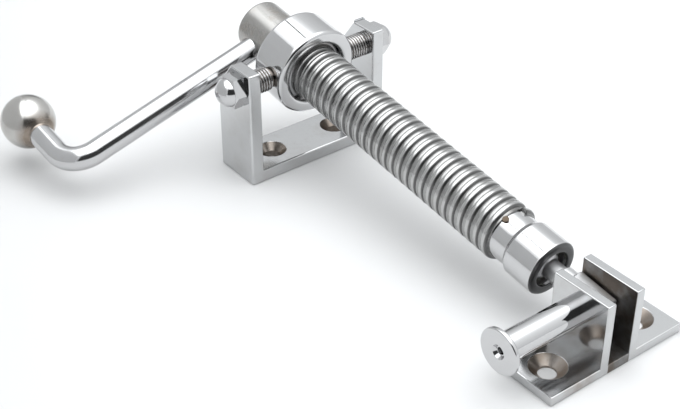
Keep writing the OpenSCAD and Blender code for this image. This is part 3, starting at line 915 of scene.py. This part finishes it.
def new_tree(name, floats, integers=()):
    """A geometry tree with named inputs, its graph and those inputs as values."""
    tree = bpy.data.node_groups.new(name, "GeometryNodeTree")
    tree.interface.new_socket("Geometry", in_out="OUTPUT", socket_type="NodeSocketGeometry")
    inputs = dict.fromkeys(floats, "NodeSocketFloat")
    inputs.update(dict.fromkeys(integers, "NodeSocketInt"))
    inputs["Metal"] = "NodeSocketMaterial"
    for label, kind in inputs.items():
        tree.interface.new_socket(label, in_out="INPUT", socket_type=kind)
    graph = Graph(tree)
    source = tree.nodes.new("NodeGroupInput")
    return tree, graph, {label: Value(graph, source.outputs[label]) for label in inputs}


def end_tree(graph, geometry, metal):
    """Ends a geometry tree in Realize Instances and Set Material."""
    real = graph.add("GeometryNodeRealizeInstances", {"Geometry": geometry})
    dressed = graph.add("GeometryNodeSetMaterial", {"Geometry": real, "Material": metal})
    graph.add("NodeGroupOutput", {"Geometry": dressed})


def line_through(graph, count, point):
    """A line whose points are moved to where a vector says."""
    line = graph.add("GeometryNodeCurvePrimitiveLine")
    line = graph.add("GeometryNodeResampleCurve", {"Curve": line, "Count": count})
    return graph.add("GeometryNodeSetPosition", {"Geometry": line, "Position": point})


def end_swept(graph, path, radius, sides, metal):
    """Ends a geometry tree in a round bar along a path, with closed ends."""
    section = graph.add("GeometryNodeCurvePrimitiveCircle", {"Resolution": sides, "Radius": radius})
    sockets = {"Curve": path, "Profile Curve": section, "Fill Caps": True}
    end_tree(graph, graph.add("GeometryNodeCurveToMesh", sockets), metal)


def grown(tree, settings, place, metal):
    """An object made by a geometry tree, as a plain mesh in its place."""
    item = stock(bpy.data.meshes.new("grown"))
    work = item.modifiers.new("Grow", "NODES")
    work.node_group = tree
    for label, value in (*settings.items(), ("Metal", METALS[metal])):
        work[tree.interface.items_tree[label].identifier] = value
    settled(item)
    item.data.transform(place)
    return item


def wire_tree():
    """Round wire wound as a helix round Z, with closed ends."""
    floats = ("Radius", "Wire Radius", "Pitch", "Turns", "Start", "Start Angle")
    tree, graph, given = new_tree("wound_wire", floats, ("Rings", "Sides"))
    steps = graph.maths("CEIL", given["Turns"] * given["Rings"])
    share = graph.add("GeometryNodeInputIndex") / steps
    angle = given["Start Angle"] + share * given["Turns"] * math.tau
    point = graph.vector(
        given["Radius"] * graph.maths("COSINE", angle),
        given["Radius"] * graph.maths("SINE", angle),
        given["Start"] + share * given["Turns"] * given["Pitch"],
    )
    path = line_through(graph, steps + 1.0, point)
    end_swept(graph, path, given["Wire Radius"], given["Sides"], given["Metal"])
    return tree


def wound(place, metal, radius, wire, pitch, turns, start, angle=0.0, rings=28, sides=12):
    """Wire wound round a place's Z, from a start along it and an angle round it."""
    settings = {
        "Radius": radius,
        "Wire Radius": wire / 2,
        "Pitch": pitch,
        "Turns": turns,
        "Start": start,
        "Start Angle": angle,
        "Rings": rings,
        "Sides": sides,
    }
    return grown(wire_tree(), settings, place, metal)


def bar_tree():
    """A round bar along X that bends round and ends along -Z."""
    tree, graph, given = new_tree("bent_bar", ("Arm", "Handle", "Bend", "Bar Radius"))
    index = graph.add("GeometryNodeInputIndex")
    point = graph.vector(
        given["Arm"] * graph.maths("MINIMUM", index, 1.0),
        0.0,
        -given["Handle"] * graph.maths("MAXIMUM", index - 1.0, 0.0),
    )
    sockets = {"Curve": line_through(graph, 3, point), "Count": 40, "Radius": given["Bend"]}
    path = graph.add("GeometryNodeFilletCurve", sockets, mode="POLY")
    end_swept(graph, path, given["Bar Radius"], 96, given["Metal"])
    return tree


def thread_tree():
    """A screw thread on a shank round Z: its ridge climbs as it goes round, and fades at both ends."""
    tree, graph, given = new_tree("screw_thread", ("Crest", "Root", "Pitch", "Length"))
    rows_per_turn = 12.0
    sockets = {
        "Vertices": 72,
        "Side Segments": graph.maths("CEIL", given["Length"] / given["Pitch"] * rows_per_turn),
        "Fill Segments": 1,
        "Radius": given["Root"],
        "Depth": given["Length"],
    }
    shank = graph.add("GeometryNodeMeshCylinder", sockets, out="Mesh")
    x, y, z = graph.parts(graph.add("GeometryNodeInputPosition"))
    around = graph.maths("ARCTAN2", y, x) / math.tau
    share = graph.maths("FRACT", z / given["Pitch"] - around)
    ridge = graph.clamp((1.0 - graph.size(share - 0.5) * 2.0) * 1.3 - 0.12)
    fade = graph.clamp((given["Length"] / 2.0 - graph.size(z)) / given["Pitch"])
    grow = 1.0 + ridge * fade * (given["Crest"] - given["Root"]) / given["Root"]
    sockets = {"Geometry": shank, "Position": graph.vector(x * grow, y * grow, z)}
    end_tree(graph, graph.add("GeometryNodeSetPosition", sockets), given["Metal"])
    return tree


class FrameBracket(bpy.types.Operator):
    """Builds the U bracket with its slanted corners and countersunk holes"""

    bl_idname = "opener.frame_bracket"
    bl_label = "Frame Bracket"

    def execute(self, context):
        s = context.scene.opener_bracket
        deep = context.scene.opener_window.sink_deep
        x, y = s.depth / 2, s.width / 2
        inner = y - s.sheet
        bracket = stock(block((-x, -y, 0), (x, y, s.height)))
        lean = OVER * s.corner_high / s.corner_long
        wedge = [
            (-x - OVER, s.height - s.corner_high - lean),
            (-x + s.corner_long, s.height),
            (-x + s.corner_long, s.height + OVER),
            (-x - OVER, s.height + OVER),
        ]
        gap = block((-x - OVER, -inner, s.sheet), (x + OVER, inner, s.height + OVER))
        cut(bracket, [gap, prism(wedge, -y - OVER, y + OVER, spin(90, "X"))])
        eased(bracket, s.edge)
        holes = [sunk_hole(s, s.sheet, deep, shift(y=side * s.hole_gap / 2)) for side in SIDES]
        bores = [bar(s.shank / 2, inner - OVER, y + OVER, screw_place(side)) for side in SIDES]
        cut(bracket, holes + bores)
        fitted(bracket, "bracket_with_uprights", "frame_bracket", "base")
        return {"FINISHED"}


class PivotScrews(bpy.types.Operator):
    """Builds the two domed hexagon screws that the collar swings on"""

    bl_idname = "opener.pivot_screws"
    bl_label = "Pivot Screws"

    def execute(self, context):
        s = context.scene.opener_bracket
        collar_out = context.scene.opener_collar.outer / 2
        tip_in = collar_out - s.tip_long
        shank_in, shank_out = collar_out + GAP, s.width / 2
        reach = shank_out - shank_in + 2 * LAP
        corner, flat = s.hexagon / math.sqrt(3), s.hexagon / 2
        top = shank_out + s.hexagon_long
        rim, sunk = 0.1 * MM, 0.4 * MM
        drop = (corner - flat) * math.tan(math.radians(30))
        foot = math.degrees(math.asin((s.dome_in - sunk) / s.dome))
        hexagon = arc((0, 0), corner, 0, 300, 5)
        chamfer = [
            (0, shank_out), (flat + rim, shank_out), (corner, shank_out + drop),
            (corner, top - drop * 1.3), (flat - rim, top), (0, top),
        ]
        tip_outline = [
            (0, tip_in), (s.tip / 2, tip_in, 0.3 * MM), (s.tip / 2, shank_in + LAP), (0, shank_in + LAP),
        ]
        dome_outline = [(0, top - sunk)] + arc((0, top - s.dome_in), s.dome, foot, 90, 28)
        settings = {"Crest": s.shank / 2, "Root": s.root / 2, "Pitch": s.pitch, "Length": reach}
        tree = thread_tree()
        for side, node in ((1, "pivot_screw_left"), (-1, "pivot_screw_right")):
            place = screw_place(side)
            shank = grown(tree, settings, place @ shift(z=shank_in + reach / 2), "screw")
            tip = turned(tip_outline, place, steps=96)
            head = stock(prism(hexagon, shank_out, top, place))
            cut(head, [turned(chamfer, place, steps=120)], "INTERSECT")
            eased(head, 0.09 * MM, 2, 25)
            dome = turned(dome_outline, place)
            screw = stock(joined([taken(shank), tip, taken(head), dome]))
            fitted(screw, node + "_with_thread", node, "screw", 38)
        return {"FINISHED"}


class Collar(bpy.types.Operator):
    """Builds the collar and the wire coil that is its nut"""

    bl_idname = "opener.collar"
    bl_label = "Collar and Nut Coil"

    def execute(self, context):
        s = context.scene.opener_collar
        p = context.scene.opener_spindle
        b = context.scene.opener_bracket
        guide = winding_radius(p) + p.wire / 2 + 0.4 * MM
        apart = (p.wire + s.wire) / 2 + 0.28 * MM
        nut_at = winding_radius(p) + math.sqrt(apart ** 2 - p.pitch ** 2 / 4)
        bore, out = nut_at + s.wire / 2, s.outer / 2
        outline = [
            (guide, -s.back, 0.3 * MM),
            (out, -s.back, s.edge),
            (out, s.front, s.edge),
            (bore, s.front, 1.2 * MM),
            (bore, s.guide - s.back),
            (guide, s.guide - s.back),
        ]
        ring = stock(turned(outline, SPINDLE, ring=True, steps=256))
        tip_in = out - b.tip_long - GAP
        cut(ring, [bar(b.tip / 2 + FIT, tip_in, out + OVER, screw_place(side)) for side in (1, -1)])
        fitted(ring, "collar_ring", "collar", "collar")
        start = s.front - s.wire / 2 - 0.35 * MM - s.turns * p.pitch
        angle = p.first + math.tau * (start - p.pitch / 2 - wire_start(p, s)) / p.pitch
        coil = wound(SPINDLE, "nut", nut_at, s.wire, p.pitch, s.turns, start, angle, rings=48, sides=20)
        fitted(coil, "nut_winding", "nut_coil", "nut", 60)
        return {"FINISHED"}


class Spindle(bpy.types.Operator):
    """Builds the spindle tube, the wire wound on it and the sleeve that the wire runs out against"""

    bl_idname = "opener.spindle"
    bl_label = "Wound Spindle"

    def execute(self, context):
        s = context.scene.opener_spindle
        c = context.scene.opener_collar
        j = context.scene.opener_joint
        front, start, radius = hub_front(c), wire_start(s, c), winding_radius(s)
        end = start + s.turns * s.pitch
        neck_start = BALL_AT + j.front - j.socket_long - j.step - j.neck_long
        tube, bore, groove, neck = s.tube / 2, s.bore / 2, s.groove / 2, j.neck / 2
        band_end, sleeve_start = end - 1 * MM, end - 1.5 * MM
        outline = [
            (bore, front - s.hub_seat), (tube, front - s.hub_seat), (tube, front),
            (groove, front + 0.1 * MM, 0.4 * MM), (groove, band_end), (tube, band_end),
            (tube, neck_start), (bore, neck_start),
        ]
        core = turned(outline, SPINDLE, ring=True)
        winding = {"angle": s.first, "rings": s.rings, "sides": 24}
        wire = wound(SPINDLE, "wire", radius, s.wire, s.pitch, s.turns, start, **winding)
        low, back = radius - s.inner_low, start - s.inner_back
        inner = wound(SPINDLE, "wire", low, s.wire, s.pitch, s.inner_turns, back, **winding)
        core = stock(joined([core, taken(inner)]))
        fitted(core, "spindle_core", "spindle_tube", "wire", 50)
        lock_place = shift(z=end - s.lock_back) @ Matrix.Rotation(s.lock_turn, 4, "Z")
        hole_place = SPINDLE @ lock_place @ spin(90, "Y")
        hole, hole_out = s.lock_pin / 2 + 0.15 * MM, 11 * MM
        cut(wire, [bar(hole, 7 * MM, hole_out, hole_place)])
        fitted(wire, "thread_winding", "thread_wire", "wire", 50)
        outline = [
            (tube, sleeve_start), (neck, sleeve_start, 0.5 * MM), (neck, neck_start), (tube, neck_start),
        ]
        sleeve = stock(turned(outline, SPINDLE, ring=True))
        cut(sleeve, [bar(hole, 6.5 * MM, hole_out, hole_place)])
        fitted(sleeve, "thread_sleeve", "thread_stop", "sleeve")
        coated("lock_pin", "pin")
        coated("hub_pin", "inner")
        return {"FINISHED"}


class Crank(bpy.types.Operator):
    """Builds the hub, the bent rod and the ball knob"""

    bl_idname = "opener.crank"
    bl_label = "Hub and Crank"

    def execute(self, context):
        s = context.scene.opener_crank
        c = context.scene.opener_collar
        front = hub_front(c)
        outline = [
            (0, front - s.hub_long),
            (s.hub / 2, front - s.hub_long, s.hub_edge),
            (s.hub / 2, front, s.hub_edge / 2),
            (0, front),
        ]
        turned_piece(outline, SPINDLE, "crank_hub", "hub", "hub")
        settings = {"Arm": s.arm, "Handle": s.handle, "Bend": s.bend, "Bar Radius": s.rod / 2}
        rod = grown(bar_tree(), settings, rod_place(s, c), "rod")
        fitted(rod, "bent_rod", "crank_rod", "rod", 50)
        ball, fillet = s.knob / 2, s.fillet
        foot = s.rod / 2 + fillet
        rise = math.sqrt((ball + fillet) ** 2 - foot ** 2)
        lean = math.degrees(math.atan2(rise, foot))
        outline = arc((0, 0), ball, -90, lean, 60)
        outline += arc((foot, rise), fillet, lean - 180, -180, 6)[1:]
        outline[0] = (0, -ball)
        outline.append((0, rise))
        turned_piece(outline, knob_place(s, c), "ball_knob", "crank_knob", "knob", 60)
        return {"FINISHED"}


def joint_radii(s):
    """Radii round the ball: the liner's outside, the seat's hollow and the socket's bore."""
    liner_out = s.ball / 2 + FIT + s.liner
    seat_in = liner_out + FIT
    return liner_out, seat_in, seat_in + s.seat + FIT


def add_socket(s, spigot):
    """The socket: its spigot, the swell to its full width, its lip, and the pocket that the ball lies in."""
    mouth, wide, slim = s.mouth / 2, s.socket / 2, s.neck / 2
    bore = joint_radii(s)[2]
    end = BALL_AT + s.front
    lip_back = end - s.lip_sheet
    step = end - s.socket_long - s.step
    neck = step - s.neck_long
    outline = [(0, neck - s.spigot_long), (spigot, neck - s.spigot_long), (spigot, neck), (slim, neck)]
    swell, steps = s.step + 0.6 * MM, 12
    for k in range(steps + 1):
        rise = (1 - math.cos(math.pi * k / steps)) / 2
        outline.append((slim + (wide - slim) * rise, step + swell * k / steps))
    outline += [
        (wide, end, s.lip), (mouth, end, 0.4 * MM), (mouth, lip_back),
        (bore, lip_back), (bore, BALL_AT - s.bore_back),
    ]
    room = s.ball / 2 + GAP
    rim = math.degrees(math.asin(s.bore_back / room))
    outline += arc((0, BALL_AT), room, -rim, -90, 12)
    outline[-1] = (0, BALL_AT - room)
    turned_piece(outline, SPINDLE, "ball_socket", "socket_head", "socket", 40)


def add_keeper_and_liner(s):
    """The ring that keeps the ball in, and the liner that swivels, both turned from the ball's centre."""
    liner_out, seat_in, bore = joint_radii(s)
    place = SPINDLE @ shift(z=BALL_AT)
    mouth, liner_in, half = s.mouth / 2, s.ball / 2 + FIT, s.liner_long / 2
    lip_back, low = s.front - s.lip_sheet, 0.1 * MM
    lift = math.degrees(math.acos(mouth / seat_in))
    outline = arc((0, 0), seat_in, math.degrees(math.asin(low / seat_in)), lift, 14)
    outline += [(mouth, lip_back), (bore, lip_back), (bore, low)]
    turned_piece(outline, place, "socket_keeper", "socket_ring", "inner", ring=True)
    tilt_in = math.degrees(math.asin(half / liner_in))
    tilt_out = math.degrees(math.asin(half / liner_out))
    outline = arc((0, 0), liner_in, -tilt_in, tilt_in, 14) + arc((0, 0), liner_out, tilt_out, -tilt_out, 14)
    turned_piece(outline, place, "ball_cup", "ball_liner", "nylon", ring=True)


def add_stud(s, pin):
    """The stud: ball, neck and shoulder are turned, and the tongue is a block with the pin's hole."""
    ball, slim, wide = s.ball / 2, s.stud_neck / 2, s.shoulder / 2
    high, thick = s.tongue_high / 2, s.tongue_thick / 2
    back = PIN_AT - s.tongue_back
    shoulder = back - s.shoulder_long
    meet = math.acos(slim / ball)
    fillet_degrees = 3.22
    outline = arc((0, BALL_AT), ball, -90, math.degrees(meet) - fillet_degrees, 44)
    outline[0] = (0, BALL_AT - ball)
    outline += [
        (slim, BALL_AT + ball * math.sin(meet) + 0.15 * MM, 0.4 * MM), (slim, shoulder, 0.3 * MM),
        (wide, shoulder, 0.35 * MM), (wide, back + LAP), (0, back + LAP),
    ]
    stem = turned(outline, SPINDLE)
    tongue = stock(block((-thick, -high, back), (thick, high, PIN_AT + s.tongue_front), SPINDLE))
    eased(tongue, 0.45 * MM)
    cut(tongue, [bar(pin + FIT, -2 * thick, 2 * thick, PIN_AXIS)])
    stud = stock(joined([stem, taken(tongue)]))
    fitted(stud, "stud_with_tongue", "ball_stud", "stud")


class BallJoint(bpy.types.Operator):
    """Builds the socket, its ring, the nylon seat and liner, and the stud with its tongue"""

    bl_idname = "opener.ball_joint"
    bl_label = "Ball Joint and Stud"

    def execute(self, context):
        s = context.scene.opener_joint
        add_socket(s, context.scene.opener_spindle.bore / 2)
        add_keeper_and_liner(s)
        coated("ball_seat", "nylon")
        add_stud(s, context.scene.opener_window.pin / 2)
        return {"FINISHED"}


class WindowBracket(bpy.types.Operator):
    """Builds the plate and the two ears of the window bracket"""

    bl_idname = "opener.window_bracket"
    bl_label = "Window Bracket"

    def execute(self, context):
        s = context.scene.opener_window
        middle = PIN.x + s.pin_back
        x, y = s.plate_long / 2, s.plate_wide / 2
        plate = stock(block((middle - x, -y, 0), (middle + x, y, s.plate)))
        eased(plate, s.edge)
        places = [shift(middle, side * s.hole_gap / 2) for side in SIDES]
        cut(plate, [sunk_hole(s, s.plate, s.sink_deep, place) for place in places])
        fitted(plate, "plate_with_sinks", "window_plate", "plate")
        for side, node in ((1, "ear_left"), (-1, "ear_right")):
            near, far = sorted((side * s.ear_gap / 2, side * (s.ear_gap / 2 + s.ear)))
            ear = stock(block((middle - x, near, s.plate - s.edge * 3), (middle + x, far, s.ear_high)))
            eased(ear, s.edge)
            foot_low = (middle - 2 * x, near - s.ear, -s.plate)
            foot = block(foot_low, (middle + 2 * x, far + s.ear, s.plate - s.edge))
            cut(ear, [foot, bar(s.pin / 2 + FIT, near - OVER, far + OVER, PIN_AXIS)])
            fitted(ear, node + "_eased", node, "plate")
        return {"FINISHED"}


class PullPin(bpy.types.Operator):
    """Builds the barrel, its bush, the cross pin with its spring, and the pull disc"""

    bl_idname = "opener.pull_pin"
    bl_label = "Pull Pin"

    def execute(self, context):
        s = context.scene.opener_window
        ear_out = s.ear_gap / 2 + s.ear
        end = -ear_out - s.barrel_long
        bore, wide, stem = s.barrel_bore / 2, s.barrel / 2, s.stem / 2
        pin, disc = s.pin / 2, s.disc / 2
        head, tip = -ear_out - GAP, ear_out + s.pin_out
        head_back, head_out = head - s.head_long, bore - FIT
        disc_in, disc_out = end - GAP, end - GAP - s.disc_thick
        stem_end = disc_out + 0.95 * MM
        hole, hole_in = 1.1 * MM, stem_end + 2.4 * MM
        foot = end + s.bush
        outline = [(bore, end, 0.12 * MM), (wide, end, 0.25 * MM), (wide, -ear_out), (bore, -ear_out)]
        turned_piece(outline, PIN_AXIS, "pin_barrel", "plunger_barrel", "barrel", ring=True)
        outline = [(stem + FIT, end, 0.15 * MM), (bore, end), (bore, foot), (stem + FIT, foot)]
        turned_piece(outline, PIN_AXIS, "barrel_plug", "barrel_bush", "spring", ring=True)
        outline = [
            (0, hole_in + 0.5 * MM), (hole, hole_in), (hole, stem_end, 0.08 * MM),
            (stem, stem_end, 0.1 * MM), (stem, head_back), (head_out, head_back, 0.2 * MM),
            (head_out, head, 0.2 * MM), (pin, head), (pin, tip, 0.45 * MM), (0, tip),
        ]
        turned_piece(outline, PIN_AXIS, "pull_pin", "cross_pin", "barrel")
        outline = [
            (stem, disc_out + 1.05 * MM), (s.recess / 2, disc_out, 0.1 * MM),
            (disc, disc_out, 0.45 * MM), (disc, disc_in, 0.35 * MM), (stem, disc_in),
        ]
        turned_piece(outline, PIN_AXIS, "pull_button", "pull_disc", "barrel", ring=True)
        room = head_back - foot
        rest = s.spring_wire / 2 + FIT
        pitch = (room - 2 * rest) / s.spring_turns
        turns = float(s.spring_turns)
        spring = wound(PIN_AXIS, "spring", s.spring / 2, s.spring_wire, pitch, turns, foot + rest)
        fitted(spring, "return_spring", "pin_spring", "spring", 50)
        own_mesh(spring)
        return {"FINISHED"}


class Studio(bpy.types.Operator):
    """Lays the floor, hangs the cards, lights the room and sets the camera"""

    bl_idname = "opener.studio"
    bl_label = "Studio"

    def execute(self, context):
        s = context.scene.opener_studio
        half = s.floor / 2
        floor = stock(block((-half, -half, -20 * MM), (half, half, 0)), "studio_floor")
        floor.data.materials.append(pale_floor("pale_paper", s.floor_tone))
        for name, (place, turn, size, tone) in CARDS.items():
            hung_card(name, place, turn, size, tone)
        context.scene.world = soft_room(s.room_light)
        lens = bpy.data.cameras.new("photo_camera")
        lens.sensor_width = 36.0
        lens.lens = s.lens
        lens.clip_start = 0.01
        camera = bpy.data.objects.new("photo_camera", lens)
        context.scene.collection.objects.link(camera)
        camera.location = CAMERA_AT
        level = math.cos(CAMERA_DOWN)
        look = Vector((math.cos(CAMERA_WAY) * level, math.sin(CAMERA_WAY) * level, -math.sin(CAMERA_DOWN)))
        camera.rotation_euler = look.to_track_quat("-Z", "Y").to_euler()
        context.scene.camera = camera
        context.scene.view_settings.view_transform = "Standard"
        return {"FINISHED"}


def hung_card(name, place, turn, size, tone):
    """A card beside or above the object that the camera sees only in reflections."""
    half = [side / 2 for side in size]
    card = stock(block([-side for side in half], half, shift(*place) @ spin(turn, "Z")), name)
    card.data.materials.append(card_paper(name + "_paper", tone))
    card.visible_camera = False


def soft_room(strength):
    """A pale room, brighter towards its ceiling and a window, and darker in a corner and a doorway."""
    world = bpy.data.worlds.new("pale_room")
    world.use_nodes = True
    graph = Graph(world.node_tree)
    way = graph.add("ShaderNodeTexCoord", out="Generated")
    # A ramp holds levels up to 1, so each is divided first and multiplied again afterwards.
    scale = 4.0
    stops = [(height, level / scale) for height, level in ROOM_LEVELS]
    level = graph.ramp(graph.parts(way)[2], stops) * scale
    for direction, sharpness, light in ROOM_SPOTS:
        level = level + graph.facing(way, direction) ** sharpness * light
    shade = graph.add("ShaderNodeBackground", {"Color": rgba(ROOM_TINT), "Strength": level * strength})
    graph.add("ShaderNodeOutputWorld", {"Surface": shade})
    return world


class OpenerPanel(bpy.types.Panel):
    """Lists the opener's pieces, sizes and finishes in the sidebar"""

    bl_idname = "VIEW3D_PT_window_opener"
    bl_label = "Window Opener"
    bl_space_type = "VIEW_3D"
    bl_region_type = "UI"
    bl_category = "Window Opener"

    def draw(self, context):
        for operator in PIECES:
            self.layout.operator(operator.bl_idname)
        for attribute, group in SIZES.items():
            box = self.layout.box()
            box.label(text=group.__doc__)
            for field in group.__annotations__:
                box.prop(getattr(context.scene, attribute), field)


PIECES = (FrameBracket, PivotScrews, Collar, Spindle, Crank, BallJoint, WindowBracket, PullPin, Studio)


def register():
    """Adds the classes and the opener's settings."""
    for item in (*SIZES.values(), *PIECES, OpenerPanel):
        bpy.utils.register_class(item)
    for attribute, group in SIZES.items():
        setattr(bpy.types.Scene, attribute, PointerProperty(type=group))


def unregister():
    """Takes them away again."""
    for attribute in SIZES:
        delattr(bpy.types.Scene, attribute)
    for item in reversed((*SIZES.values(), *PIECES, OpenerPanel)):
        bpy.utils.unregister_class(item)


def main():
    """Builds every piece and the studio."""
    register()
    make_finishes(bpy.context.scene)
    for operator in PIECES:
        group, name = operator.bl_idname.split(".")
        result = getattr(getattr(bpy.ops, group), name)()
        if "FINISHED" not in result:
            raise RuntimeError(f"{operator.bl_label} could not be built")


if __name__ == "__main__":
    main()
